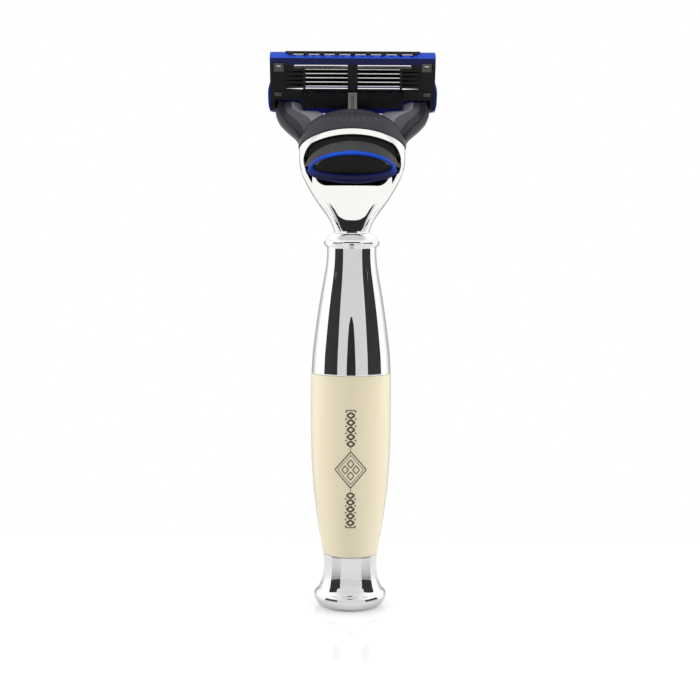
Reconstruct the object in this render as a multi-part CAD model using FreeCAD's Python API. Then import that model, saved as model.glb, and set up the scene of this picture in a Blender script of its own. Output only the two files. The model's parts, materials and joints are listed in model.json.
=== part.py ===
import FreeCAD, Part
import math
import os

# Cartridge razor: a turned handle, a spring-loaded docking head and a pivoting five-blade cartridge.
# Millimetres. +Z runs up the handle, the origin is the centre of the flat foot, -Y is the button side.

V = FreeCAD.Vector
X_AXIS, Y_AXIS, Z_AXIS = V(1, 0, 0), V(0, 1, 0), V(0, 0, 1)

# ---- handle, from the foot up: radii and heights ----
FOOT_R = 6.6
CAP_R, CAP_R_Z = 9.1, 3.0
CAP_NECK_R, CAP_TOP_R = 6.7, 6.85
CAP_TOP = 13.4
BARREL_LOW_R, BARREL_MID_R, BARREL_TOP_R = 6.9, 10.0, 9.92
BARREL_TOP = 58.8
FERRULE_LOW_R, FERRULE_WAIST_R = 9.84, 6.09
FERRULE_WAIST_Z = 87.3
COLLAR_R, COLLAR_LOW, COLLAR_MID = 6.85, 90.3, 91.2
NECK_R, NECK_Z = 4.3, 93.8
ROD_R, ROD_LOW, ROD_HIGH = 2.0, 5.0, 80.0
SPIGOT_R, SPIGOT_LOW = 3.0, 84.0
FIT = 0.03                      # clearance of the handle's own fixed joints

# ---- head: the centre line bends forward to the docking direction, then runs straight ----
LEAN = 18.0                     # degrees forward of +Z
BEND_TOP = 108.0                # height where the bend ends: the docking frame's origin
BEND_R = (BEND_TOP - NECK_Z) / math.sin(math.radians(LEAN))
DOCK_Y = BEND_R * (1 - math.cos(math.radians(LEAN)))
HEAD_OUTER = [                  # height on the centre line, half width, half depth
    (93.8, 4.3, 4.3), (96.0, 5.2, 4.5), (98.6, 6.84, 4.7), (101.5, 8.86, 4.95), (104.5, 10.64, 5.3),
    (107.4, 12.17, 5.5), (110.0, 13.0, 5.6), (113.0, 13.2, 5.65), (121.0, 13.0, 5.6)]
HEAD_INNER = [
    (101.5, 5.6, 2.4), (104.5, 9.2, 3.8), (107.4, 10.85, 4.2), (111.0, 11.9, 4.35), (121.5, 11.9, 4.35)]

# ---- docking frame: x across, y towards the blades, z (called s here) along the docking direction ----
RIM_S, RIM_R = 9.67, 31.6       # top of the arched rim and its radius
RIM_BAND = 1.4                  # height of metal between the rim and the window
RIM_CENTRE_S = RIM_S - RIM_R
WINDOW_HALF, WINDOW_LOW_S = 11.9, -4.1
WINDOW_TOP_R = RIM_R - RIM_BAND

BUTTON_S = 0.5                  # middle of the oval button
RING_HALF_W, RING_HALF_H = 11.15, 3.57
PAD_HALF_W, PAD_HALF_H = 9.5, 2.2
BUTTON_TRAVEL = 2.6

SPADE_HALF_W, SPADE_BACK, SPADE_FRONT, SPADE_TOP = 6.0, -1.5, 1.8, 14.5
ARM_IN, ARM_OUT, ARM_BACK, ARM_FRONT = 7.3, 9.8, -2.3, 0.5      # ejector arms
SLIDE = 0.15                    # clearance round sliding pieces

PLUNGER_HALF_W, PLUNGER_BACK, PLUNGER_FRONT = 1.1, -3.95, -2.75
PLUNGER_FOOT_LOW, PLUNGER_FOOT_HIGH, PLUNGER_FOOT_FRONT = 7.3, 8.9, 1.5
PLUNGER_ROD_R, PLUNGER_ROD_LOW = 0.9, 2.2
SPRING_Y, SPRING_R, SPRING_WIRE_R, SPRING_LOW = 0.6, 1.3, 0.14, -4.2
SPRING_TURNS, SPRING_STEPS = 8, 16
SPRING_BORE_R = 1.75

# ---- pivot of the blade unit, in the docking frame ----
PIVOT_Y, PIVOT_S = 1.0, 18.0
UNIT_TILT = 20.0                # degrees the blade unit leans back at rest
UNIT_TRAVEL = 41.0              # degrees it can turn further back
BOSS_R, BOSS_IN, BOSS_OUT = 1.2, 13.0, 19.1
PIN_R, PIN_OUT, PIN_PLAY = 0.7, 20.0, 0.03
CAM_Y, CAM_S, CAM_R = -4.0, 2.3, 0.4   # cam nose from the pivot, along the docking frame's axes
CAM_GAP = 0.03
PLUNGER_TOP = PIVOT_S + CAM_S - CAM_R - CAM_GAP

# ---- yoke ----
YOKE_HALF, YOKE_TOP, YOKE_GAP = 13.4, 16.5, 0.25
DOME_HALF, DOME_SIDE_S, SHOULDER_S = 10.8, 12.9, 8.6

# ---- blade unit, in its own frame: x across, y towards the skin, z from the guard to the cap ----
UNIT_HALF, UNIT_BACK, BODY_FRONT, CAP_FRONT, SKIN = 20.4, -2.6, 1.5, 2.2, 2.8
HOUSING_LOW, HOUSING_HIGH, UNIT_TOP = 0.2, 11.3, 13.5
BLADES, BLADE_PITCH, FIRST_EDGE, BLADE_HALF = 5, 1.05, 4.4, 18.2
BLADE_ANGLE, BLADE_WIDTH, SHEET = 21.5, 1.2, 0.1
PLATFORM, LEG_END, BLADE_TRAVEL = 1.35, -1.7, 0.1
RECESS_HALF, RECESS_FLOOR, RECESS_LOW, RECESS_HIGH = 18.5, -1.95, 4.3, 10.4
CAP_LOW, CAP_LIP = 11.0, 10.5     # lower edge of the cap bar, at its back and at its front
STRIP_HALF, STRIP_LOW, STRIP_HIGH = 17.2, 10.7, 13.2
RIB_HALF, WINDOW_IN_HALF, SLOT_HALF = 1.25, 11.7, 14.5
POCKET_IN, POCKET_OUT, POCKET_HIGH = 12.6, 19.3, 2.6
HOLLOW_FLOOR, HOLLOW_HIGH = -1.5, 5.0
GUARD_HALF, GUARD_LOW, GUARD_HIGH, FINS, FIN_PITCH = 21.1, -1.4, 4.2, 8, 0.55
CLIP_IN, CLIP_OUT, CLIP_T, CLIP_LOW, CLIP_HIGH = 17.0, 19.4, 0.25, 3.6, 11.2
CLIP_TAB = 2.1                  # height of the clip's upper tab on the back of the housing
LEDGE_LOW, LEDGE_HIGH, LEDGE_FRONT = 13.0, 13.85, -0.2
SLOTS, SLOT_PITCH, RIB_W = 8, 3.83, 1.2

DOCK = FreeCAD.Placement(V(0, DOCK_Y, BEND_TOP), FreeCAD.Rotation(X_AXIS, -LEAN))
PIVOT = DOCK.multVec(V(0, PIVOT_Y, PIVOT_S))
UNIT = FreeCAD.Placement(PIVOT, FreeCAD.Rotation(X_AXIS, UNIT_TILT))


# ---- helpers ----
def box(x, y, z):
    """Box from three (low, high) ranges."""
    return Part.makeBox(x[1] - x[0], y[1] - y[0], z[1] - z[0], V(x[0], y[0], z[0]))


def both_sides(solid):
    """The solid and its mirror image across the middle plane."""
    return solid.fuse(solid.mirror(V(0, 0, 0), X_AXIS))


def round_bar(radius, x, y, z):
    """Cylinder along X over the (low, high) range x."""
    return Part.makeCylinder(radius, x[1] - x[0], V(x[0], y, z), X_AXIS)


def outline(*stretches):
    """Wire in the XZ plane: two points make a line, three an arc, more a smooth curve."""
    edges = []
    for points in stretches:
        places = [V(across, 0, up) for across, up in points]
        if len(places) == 2:
            edges.append(Part.LineSegment(*places).toShape())
        elif len(places) == 3:
            edges.append(Part.Arc(*places).toShape())
        else:
            curve = Part.BSplineCurve()
            curve.interpolate(places)
            edges.append(curve.toShape())
    return Part.Wire(edges)


def plate(wire, y):
    """Solid from an XZ outline over the (low, high) range y."""
    face = Part.Face(wire)
    face.translate(V(0, y[0], 0))
    return face.extrude(V(0, y[1] - y[0], 0))


def bar(points, x):
    """Solid from a closed polygon of (y, z) points over the (low, high) range x."""
    corners = [V(x[0], y, z) for y, z in points]
    return Part.Face(Part.makePolygon(corners + corners[:1])).extrude(V(x[1] - x[0], 0, 0))


def turned(*stretches):
    """Solid of revolution about Z from an outline of (radius, height) stretches."""
    return Part.Face(outline(*stretches)).revolve(V(0, 0, 0), Z_AXIS, 360)


def rod(radius, low, high, x=0, y=0):
    return Part.makeCylinder(radius, high - low, V(x, y, low))


def disc(radius, y, s):
    """Cylinder along Y about the point (0, s): the shape of the arched rim."""
    return Part.makeCylinder(radius, y[1] - y[0], V(0, y[0], s), Y_AXIS)


def oval_prism(half_width, half_height, y, s):
    """Upright oval of the button, over the (low, high) range y."""
    oval = Part.Ellipse(V(0, 0, 0), half_width, half_height).toShape()
    oval.Placement = FreeCAD.Placement(V(0, y[0], s), FreeCAD.Rotation(X_AXIS, 90))
    return Part.Face(Part.Wire(oval)).extrude(V(0, y[1] - y[0], 0))


def oval_wire(half_width, half_depth, place):
    wire = Part.Wire(Part.Ellipse(V(0, 0, 0), half_width, half_depth).toShape())
    wire.Placement = place
    return wire


def oval_column(sections):
    """Loft in the docking frame through (s, half width, half depth) sections."""
    wires = [oval_wire(w, d, FreeCAD.Placement(V(0, 0, s), FreeCAD.Rotation())) for s, w, d in sections]
    return Part.makeLoft(wires, True, False)


def on_centre_line(height):
    """Placement of a cross-section of the head at a height of its centre line."""
    if height <= BEND_TOP:
        turn = math.asin((height - NECK_Z) / BEND_R)
        forward = BEND_R * (1 - math.cos(turn))
    else:
        turn = math.radians(LEAN)
        forward = DOCK_Y + (height - BEND_TOP) * math.tan(turn)
    return FreeCAD.Placement(V(0, forward, height), FreeCAD.Rotation(X_AXIS, -math.degrees(turn)))


def head_loft(sections):
    return Part.makeLoft([oval_wire(w, d, on_centre_line(h)) for h, w, d in sections], True, False)


def placed(solid, place):
    """Copy of a solid, carried by a placement."""
    copy = solid.copy()
    copy.Placement = place.multiply(copy.Placement)
    return copy


def in_dock(solid):
    """Move a solid drawn in the docking frame to its place."""
    return placed(solid, DOCK)


def to_dock(solid):
    """Bring a solid drawn in place into the docking frame."""
    return placed(solid, DOCK.inverse())


def in_unit(solid):
    """Move a solid drawn in the blade unit's frame to its place."""
    return placed(solid, UNIT)


def save(name, solid):
    pieces = solid.Solids
    if len(pieces) != 1 or not solid.isValid():
        print(name, "has", len(pieces), "solids, valid:", solid.isValid())
    pieces[0].exportStep("parts/%s.step" % name)
    return pieces[0]


# ---- handle ----
def base_cap():
    body = turned(
        [(0, 0), (FOOT_R, 0)],
        [(FOOT_R, 0), (8.45, 1.05), (CAP_R, CAP_R_Z)],
        [(CAP_R, CAP_R_Z), (8.22, 4.52), (7.27, 6.59), (CAP_NECK_R, 9.4), (CAP_TOP_R, CAP_TOP)],
        [(CAP_TOP_R, CAP_TOP), (0, CAP_TOP)],
        [(0, CAP_TOP), (0, 0)])
    return body.cut(rod(ROD_R + FIT, ROD_LOW - FIT, CAP_TOP + 1))


def barrel():
    body = turned(
        [(0, CAP_TOP), (BARREL_LOW_R, CAP_TOP)],
        [(BARREL_LOW_R, CAP_TOP), (8.06, 20.5), (9.11, 28.6), (9.78, 36.8), (BARREL_MID_R, 48.0),
         (BARREL_TOP_R, BARREL_TOP)],
        [(BARREL_TOP_R, BARREL_TOP), (0, BARREL_TOP)],
        [(0, BARREL_TOP), (0, CAP_TOP)])
    return body.cut(rod(ROD_R + FIT, CAP_TOP - 1, BARREL_TOP + 1))


def ferrule():
    body = turned(
        [(0, BARREL_TOP), (FERRULE_LOW_R, BARREL_TOP)],
        [(FERRULE_LOW_R, BARREL_TOP), (9.14, 67.4), (8.06, 75.4), (6.62, 83.3),
         (FERRULE_WAIST_R, FERRULE_WAIST_Z), (6.5, 90.0)],
        [(6.5, 90.0), (6.5, COLLAR_LOW)],
        [(6.5, COLLAR_LOW), (COLLAR_R, COLLAR_MID), (6.3, 92.1)],
        [(6.3, 92.1), (NECK_R + 0.25, NECK_Z)],
        [(NECK_R + 0.25, NECK_Z), (0, NECK_Z)],
        [(0, NECK_Z), (0, BARREL_TOP)])
    body = body.cut(rod(ROD_R + FIT, BARREL_TOP - 1, ROD_HIGH + FIT))
    return body.cut(rod(SPIGOT_R + FIT, SPIGOT_LOW - FIT, NECK_Z + 1))


def tie_rod():
    return rod(ROD_R, ROD_LOW, ROD_HIGH)


def window_cutter():
    """The button's window: an arched top, rounded sides and a nearly flat bottom edge."""
    top_x = 10.0
    top_s = RIM_CENTRE_S + math.sqrt(WINDOW_TOP_R ** 2 - top_x ** 2)
    wire = outline(
        [(-6.0, WINDOW_LOW_S), (6.0, WINDOW_LOW_S)],
        [(6.0, WINDOW_LOW_S), (10.2, -1.9), (WINDOW_HALF, 1.5)],
        [(WINDOW_HALF, 1.5), (11.6, 4.6), (top_x, top_s)],
        [(top_x, top_s), (0, RIM_CENTRE_S + WINDOW_TOP_R), (-top_x, top_s)],
        [(-top_x, top_s), (-11.6, 4.6), (-WINDOW_HALF, 1.5)],
        [(-WINDOW_HALF, 1.5), (-10.2, -1.9), (-6.0, WINDOW_LOW_S)])
    return plate(wire, (-9.0, -0.4))


def head_shell():
    """Hollow metal head: a flared loft with an arched rim, a window and a spigot for the ferrule."""
    shell = head_loft(HEAD_OUTER).cut(head_loft(HEAD_INNER))
    shell = shell.common(in_dock(disc(RIM_R, (-30, 30), RIM_CENTRE_S)))
    shell = shell.cut(in_dock(window_cutter()))
    return shell.fuse(rod(SPIGOT_R, SPIGOT_LOW, NECK_Z + 0.5)).removeSplitter()


# ---- inside the head, in the docking frame ----
def dock_core():
    """Moulded core: fills the front of the head and carries the tip that the cartridge sits on."""
    room = to_dock(head_loft([(h, w - 0.05, d - 0.05) for h, w, d in HEAD_INNER]))
    core = room.common(box((-12, 12), (-1.9, 6), (-6.0, 12)))
    core = core.common(disc(RIM_R - 0.3, (-8, 8), RIM_CENTRE_S))
    core = core.fuse(box((-SPADE_HALF_W, SPADE_HALF_W), (SPADE_BACK, SPADE_FRONT), (5, SPADE_TOP)))
    channel = box((ARM_IN - SLIDE, ARM_OUT + SLIDE), (-3, ARM_FRONT + SLIDE), (-4.2, 12))
    core = core.cut(both_sides(channel))
    core = core.cut(both_sides(box((ARM_OUT, 12.5), (-3, -0.6), (-7, 12))))
    core = core.cut(rod(SPRING_BORE_R, -9, PLUNGER_FOOT_HIGH + 0.2, 0, SPRING_Y))
    slot_half = PLUNGER_HALF_W + SLIDE
    core = core.cut(box((-slot_half, slot_half), (-3, PLUNGER_FOOT_FRONT + SLIDE),
                        (3.8, PLUNGER_FOOT_HIGH + 0.2)))
    core = core.cut(box((-1.8, 1.8), (-3, 2.4), (-9, SPRING_LOW + BUTTON_TRAVEL + 0.2)))
    return core


def ejector():
    """Slider behind the button: two arms that push the cartridge off, and the spring's lower seat."""
    room = to_dock(head_loft([(h, w - 0.3, d - 0.3) for h, w, d in HEAD_INNER]))
    slide_plate = room.common(box((-9.8, 9.8), (-3.6, ARM_BACK), (-3.6, 5.6)))
    arms = both_sides(box((ARM_IN, ARM_OUT), (ARM_BACK, ARM_FRONT), (-3.6, 12)))
    arms = arms.common(disc(RIM_R + YOKE_GAP - 0.05, (-8, 8), RIM_CENTRE_S)).common(room)
    button = oval_prism(11.0, 3.45, (-8, ARM_BACK), BUTTON_S)
    button = button.common(oval_column([(-5, 11.55, 4.55), (8, 11.55, 4.55)]))
    slope = oval_prism(11.0, 5.9, (-8, ARM_BACK), BUTTON_S)
    slope = slope.common(oval_column([(3.0, 12.6, 5.4), (4.4, 11.9, 4.55), (5.4, 11.6, 4.1), (7.0, 11.5, 4.0)]))
    ring_space = oval_prism(RING_HALF_W + 0.02, RING_HALF_H + 0.02, (-8, -2.0), BUTTON_S)
    slope = slope.cut(ring_space)
    body = slide_plate.fuse([arms, button, slope])
    slot_half = PLUNGER_HALF_W + 0.25
    body = body.cut(box((-slot_half, slot_half), (-4.05, 3), (0.8, 12)))
    seat = box((-1.6, 1.6), (-3.4, 2.2), (SPRING_LOW - 1.4, SPRING_LOW - 0.02))
    stem = box((-1.6, 1.6), (-3.4, ARM_BACK), (SPRING_LOW - 1.4, -2.0))
    return body.fuse(seat.fuse(stem).common(room)).removeSplitter()


def curved_button(half_width, half_height, outer, inner):
    """Oval wrapped round the head's curve between two oval columns of (half width, half depth)."""
    body = oval_prism(half_width, half_height, (-8, -0.6), BUTTON_S)
    body = body.common(oval_column([(-5, *outer), (8, *outer)]))
    return body.cut(oval_column([(-6, *inner), (9, *inner)]))


def button_ring():
    ring = curved_button(RING_HALF_W, RING_HALF_H, (13.1, 5.75), (11.6, 4.6))
    return ring.cut(oval_prism(PAD_HALF_W, PAD_HALF_H, (-9, 0), BUTTON_S + 0.1))


def button_pad():
    return curved_button(PAD_HALF_W - 0.02, PAD_HALF_H, (13.2, 5.9), (11.6, 4.6)).common(
        oval_prism(PAD_HALF_W - 0.02, PAD_HALF_H - 0.02, (-9, 0), BUTTON_S + 0.1))


def plunger():
    """Flat plunger that pushes on the blade unit's cam, with a foot and rod inside the core."""
    across = (-PLUNGER_HALF_W, PLUNGER_HALF_W)
    stem = box(across, (PLUNGER_BACK, PLUNGER_FRONT), (PLUNGER_FOOT_LOW, PLUNGER_TOP))
    foot = box(across, (PLUNGER_BACK, PLUNGER_FOOT_FRONT), (PLUNGER_FOOT_LOW, PLUNGER_FOOT_HIGH))
    pin = rod(PLUNGER_ROD_R, PLUNGER_ROD_LOW, PLUNGER_FOOT_LOW + 0.5, 0, SPRING_Y)
    body = stem.fuse([foot, pin])
    groove = box((-0.35, 0.35), (PLUNGER_BACK - 1, PLUNGER_BACK + 0.3), (13, PLUNGER_TOP - 0.8))
    return body.cut(groove)


def facet(corners):
    return Part.Face(Part.makePolygon(corners + corners[:1]))


def plunger_spring():
    """Coil spring round the plunger's rod, as a closed shell of flat facets round six-sided rings."""
    low = SPRING_LOW + 2 * SPRING_WIRE_R
    pitch = (PLUNGER_FOOT_LOW - 2 * SPRING_WIRE_R - low) / SPRING_TURNS
    climb = math.degrees(math.atan2(pitch, 2 * math.pi * SPRING_R))
    rings = []
    for step in range(SPRING_TURNS * SPRING_STEPS + 1):
        turn = FreeCAD.Rotation(Z_AXIS, 360.0 * step / SPRING_STEPS)
        centre = turn.multVec(V(SPRING_R, 0, 0)) + V(0, SPRING_Y, low + pitch * step / SPRING_STEPS)
        across = turn.multiply(FreeCAD.Rotation(X_AXIS, climb))
        ring = []
        for k in range(6):
            angle = math.radians(60 * k)
            ring.append(centre + across.multVec(V(math.cos(angle), 0, math.sin(angle)) * SPRING_WIRE_R))
        rings.append(ring)
    facets = [facet(rings[0]), facet(rings[-1])]
    for ring, following in zip(rings, rings[1:]):
        for k in range(6):
            j = (k + 1) % 6
            facets.append(facet([ring[k], ring[j], following[j]]))
            facets.append(facet([ring[k], following[j], following[k]]))
    return Part.Solid(Part.Shell(facets))


def yoke_dome():
    top = [(-DOME_HALF, DOME_SIDE_S), (0, YOKE_TOP), (DOME_HALF, DOME_SIDE_S)]
    wire = outline(
        [(-YOKE_HALF, 5.0), (YOKE_HALF, 5.0)],
        [(YOKE_HALF, 5.0), (YOKE_HALF, SHOULDER_S)],
        [(YOKE_HALF, SHOULDER_S), top[2]],
        top[::-1],
        [top[0], (-YOKE_HALF, SHOULDER_S)],
        [(-YOKE_HALF, SHOULDER_S), (-YOKE_HALF, 5.0)])
    column = oval_column([(4.5, 13.5, 5.6), (9.0, 13.45, 5.55), (13.0, 12.8, 5.1), (17.5, 11.0, 3.6)])
    return plate(wire, (-7, 7)).common(column)


def yoke_arm():
    wire = outline(
        [(YOKE_HALF - 0.1, SHOULDER_S - 1.5), (15.9, 11.0), (17.7, 13.2), (18.7, 15.4), (BOSS_OUT, PIVOT_S)],
        [(BOSS_OUT, PIVOT_S), (BOSS_IN, PIVOT_S)],
        [(BOSS_IN, PIVOT_S), (BOSS_IN, PIVOT_S - 1)],
        [(BOSS_IN, PIVOT_S - 1), (12.75, 16.3)],
        [(12.75, 16.3), (11.0, 15.9)],
        [(11.0, 15.9), (10.3, 14.6), (9.5, 13.4)],
        [(9.5, 13.4), (9.5, 10.0)],
        [(9.5, 10.0), (YOKE_HALF - 0.1, SHOULDER_S - 1.5)])
    arm = plate(wire, (PIVOT_Y - BOSS_R, PIVOT_Y + BOSS_R))
    boss = round_bar(BOSS_R, (BOSS_IN, BOSS_OUT), PIVOT_Y, PIVOT_S)
    pin = round_bar(PIN_R, (BOSS_OUT - 1, PIN_OUT), PIVOT_Y, PIVOT_S)
    return arm.fuse([boss, pin])


def yoke():
    """Connector of the cartridge: a dome that sits on the rim and two arms to the pivot pins."""
    body = yoke_dome().fuse(both_sides(yoke_arm()))
    body = body.cut(disc(RIM_R + YOKE_GAP, (-8, 8), RIM_CENTRE_S))
    socket = (-SPADE_HALF_W - SLIDE, SPADE_HALF_W + SLIDE)
    body = body.cut(box(socket, (SPADE_BACK - SLIDE, SPADE_FRONT + SLIDE), (5, SPADE_TOP + SLIDE)))
    slot = (-PLUNGER_HALF_W - 0.1, PLUNGER_HALF_W + 0.1)
    body = body.cut(box(slot, (PLUNGER_BACK - 0.1, PLUNGER_FRONT + 0.1), (5, 20)))
    return body.removeSplitter()


# ---- blade unit, in its own frame ----
def blade_housing():
    """Moulded frame: windows behind the blades, pockets for the yoke's arms, a cam for the plunger."""
    wide = (-UNIT_HALF, UNIT_HALF)
    body = box(wide, (UNIT_BACK, BODY_FRONT), (HOUSING_LOW, HOUSING_HIGH))
    cap_bar = bar([(-0.1, CAP_LOW), (CAP_FRONT, CAP_LIP), (CAP_FRONT, UNIT_TOP), (-0.1, UNIT_TOP)], wide)
    cheek = box((RECESS_HALF, UNIT_HALF), (BODY_FRONT - 0.1, CAP_FRONT), (GUARD_HIGH + 0.1, UNIT_TOP))
    body = body.fuse([cap_bar, both_sides(cheek)])
    body = body.cut(box((-RECESS_HALF, RECESS_HALF), (RECESS_FLOOR, BODY_FRONT + 0.01),
                        (RECESS_LOW, RECESS_HIGH)))
    deep = (UNIT_BACK - 1, CAP_FRONT + 1)
    body = body.cut(both_sides(box((RIB_HALF, WINDOW_IN_HALF), deep, (HOLLOW_HIGH + 0.3, RECESS_HIGH))))
    view_slot = bar([(UNIT_BACK - 1, CAP_LOW - 0.3), (CAP_FRONT + 1, CAP_LIP - 1.1),
                     (CAP_FRONT + 1, CAP_LIP - 0.2), (UNIT_BACK - 1, HOUSING_HIGH + 0.4)], (RIB_HALF, SLOT_HALF))
    body = body.cut(both_sides(view_slot))
    finger_x = (WINDOW_IN_HALF + 0.6, 17.2)
    for k in range(BLADES):
        z = leg_height(k) - BLADE_PITCH / 2
        finger = outline([(finger_x[0], z - 0.22), (finger_x[1], z - 0.06)],
                         [(finger_x[1], z - 0.06), (finger_x[1], z + 0.06)],
                         [(finger_x[1], z + 0.06), (finger_x[0], z + 0.22)],
                         [(finger_x[0], z + 0.22), (finger_x[0], z - 0.22)])
        body = body.cut(both_sides(plate(finger, (UNIT_BACK - 1, RECESS_FLOOR + 0.1))))
    pocket = box((POCKET_IN, POCKET_OUT), (UNIT_BACK - 1, BODY_FRONT + 0.1), (-1, POCKET_HIGH))
    body = body.cut(both_sides(pocket))
    body = body.cut(box((-POCKET_IN - 0.1, POCKET_IN + 0.1), (UNIT_BACK - 1, HOLLOW_FLOOR), (-1, HOLLOW_HIGH)))
    cam_y, cam_z = cam_centre()
    nose = round_bar(CAM_R, (-1.2, 1.2), cam_y, cam_z)
    web = box((-1.2, 1.2), (cam_y, HOLLOW_FLOOR + 0.1), (cam_z - CAM_R, cam_z + CAM_R))
    body = body.fuse([nose, web])
    body = body.cut(both_sides(round_bar(PIN_R + PIN_PLAY, (POCKET_OUT - 1, PIN_OUT + 0.1), 0, 0)))
    for low in (CLIP_LOW, CLIP_HIGH - CLIP_T):
        leg = box((CLIP_IN + 1.35, CLIP_OUT + 0.05), deep, (low - 0.05, low + CLIP_T + 0.05))
        body = body.cut(both_sides(leg))
    return body.removeSplitter()


def cam_centre():
    """Centre of the cam nose in the blade unit's frame."""
    turn = math.radians(LEAN + UNIT_TILT)
    return (CAM_Y * math.cos(turn) + CAM_S * math.sin(turn),
            CAM_S * math.cos(turn) - CAM_Y * math.sin(turn))


def guard():
    """Elastomer guard: a base with fins along it and a wing round each end of the housing."""
    base = box((-UNIT_HALF, UNIT_HALF), (BODY_FRONT, BODY_FRONT + 0.6), (GUARD_LOW, GUARD_HIGH))
    fins = []
    for k in range(FINS):
        z = GUARD_LOW + 0.6 + k * FIN_PITCH
        fins.append(bar([(BODY_FRONT + 0.5, z - 0.2), (SKIN - 0.1, z - 0.05), (SKIN - 0.1, z + 0.05),
                         (BODY_FRONT + 0.5, z + 0.2)], (-17.0, 17.0)))
    wing_side = outline([(UNIT_HALF, -1.0), (GUARD_HALF - 0.2, 0.2), (GUARD_HALF, 2.6),
                         (GUARD_HALF - 0.15, 5.2), (UNIT_HALF, 6.6)],
                        [(UNIT_HALF, 6.6), (UNIT_HALF, -1.0)])
    wings = both_sides(plate(wing_side, (-1.0, 2.4)))
    body = base.fuse(fins + [wings])
    notch = box((CLIP_IN - 0.3, UNIT_HALF - 0.2), (0, SKIN + 1), (CLIP_LOW - 0.15, GUARD_HIGH + 1))
    return body.cut(both_sides(notch)).removeSplitter()


def lube_strip():
    return box((-STRIP_HALF, STRIP_HALF), (CAP_FRONT, SKIN - 0.05), (STRIP_LOW, STRIP_HIGH))


def clip_right():
    """Bent metal clip over the blade ends, with two legs through the housing."""
    front = box((CLIP_IN, CLIP_OUT), (SKIN + 0.05, SKIN + 0.05 + CLIP_T), (CLIP_LOW, CLIP_HIGH))
    tab_y = (UNIT_BACK - CLIP_T, UNIT_BACK)
    leg_x = (CLIP_IN + 1.4, CLIP_OUT)
    parts = []
    for low in (CLIP_LOW, CLIP_HIGH - CLIP_T):
        parts.append(box(leg_x, (UNIT_BACK - CLIP_T, SKIN + 0.2), (low, low + CLIP_T)))
    parts.append(box((CLIP_IN, CLIP_OUT), tab_y, (CLIP_HIGH + 0.6 - CLIP_TAB, CLIP_HIGH + 0.6)))
    parts.append(box((CLIP_IN + 0.6, CLIP_OUT), tab_y, (CLIP_LOW, CLIP_LOW + 0.9)))
    return front.fuse(parts).removeSplitter()


def clip_left():
    return clip_right().mirror(V(0, 0, 0), X_AXIS)


def on_ledge(solid):
    """Place a piece drawn flat, with y up the ledge's slope, on the trimmer's sloping ledge."""
    slope = math.degrees(math.atan2(LEDGE_HIGH - LEDGE_LOW, LEDGE_FRONT - UNIT_BACK))
    return placed(solid, FreeCAD.Placement(V(0, UNIT_BACK, LEDGE_LOW), FreeCAD.Rotation(X_AXIS, slope)))


def trimmer_carrier():
    """Coloured bar behind the cap: an upright face, a sloping ledge and a row of small notches."""
    body = bar([(UNIT_BACK, HOUSING_HIGH), (UNIT_BACK, LEDGE_LOW), (LEDGE_FRONT, LEDGE_HIGH),
                (LEDGE_FRONT, HOUSING_HIGH)], (-UNIT_HALF, UNIT_HALF))
    body = body.cut(both_sides(box((CLIP_IN - 0.15, CLIP_OUT + 0.15), (UNIT_BACK - 1, UNIT_BACK + 0.5),
                                   (HOUSING_HIGH - 1, CLIP_HIGH + 0.75))))
    notch_pitch = 2.4
    for k in range(-6, 7):
        notch = box((k * notch_pitch - 0.4, k * notch_pitch + 0.4), (0.75, 1.2), (-0.5, 0.5))
        body = body.cut(on_ledge(notch))
    return body


def trimmer_blade():
    """Thin steel trimmer on the upper part of the ledge."""
    return on_ledge(box((-15.9, 15.9), (1.25, 2.5), (0.0, 0.12)))


def trimmer_comb():
    """Black comb over the trimmer: a bar along the edge with a rib between each pair of slots."""
    strip = box((-16.6, 16.6), (2.2, 2.55), (0.12, 0.4))
    ribs = []
    for k in range(SLOTS + 1):
        x = (k - SLOTS / 2) * SLOT_PITCH
        ribs.append(box((x - RIB_W / 2, x + RIB_W / 2), (1.2, 2.3), (0.12, 0.4)))
    return on_ledge(strip.fuse(ribs).removeSplitter())


def along_blade(edge_z, distance, depth):
    """Point (y, z) at a distance back from the cutting edge and a depth under the blade's face."""
    turn = math.radians(BLADE_ANGLE)
    y = SKIN - distance * math.sin(turn) - depth * math.cos(turn)
    z = edge_z + distance * math.cos(turn) - depth * math.sin(turn)
    return y, z


def leg_height(k):
    """Height of a blade support's leg, under the bend."""
    return along_blade(FIRST_EDGE + k * BLADE_PITCH, PLATFORM + 0.3, SHEET)[1]


def blade_strip(k):
    """Thin blade with a ground edge."""
    edge = FIRST_EDGE + k * BLADE_PITCH
    points = [along_blade(edge, 0, 0.01), along_blade(edge, 0.3, 0), along_blade(edge, BLADE_WIDTH, 0),
              along_blade(edge, BLADE_WIDTH, SHEET), along_blade(edge, 0.3, SHEET), along_blade(edge, 0, 0.03)]
    return bar(points, (-BLADE_HALF, BLADE_HALF))


def blade_support(k):
    """Bent sheet: a platform under the blade and a leg that stands in the housing."""
    edge = FIRST_EDGE + k * BLADE_PITCH
    bend_y, bend_z = along_blade(edge, PLATFORM + 0.3, SHEET)
    back_y, back_z = along_blade(edge, PLATFORM + 0.3, 2 * SHEET)
    points = [along_blade(edge, 0.35, SHEET), (bend_y, bend_z), (LEG_END, bend_z), (LEG_END, bend_z - SHEET),
              (back_y, bend_z - SHEET), along_blade(edge, 0.35, 2 * SHEET)]
    return bar(points, (-BLADE_HALF, BLADE_HALF))


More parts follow.
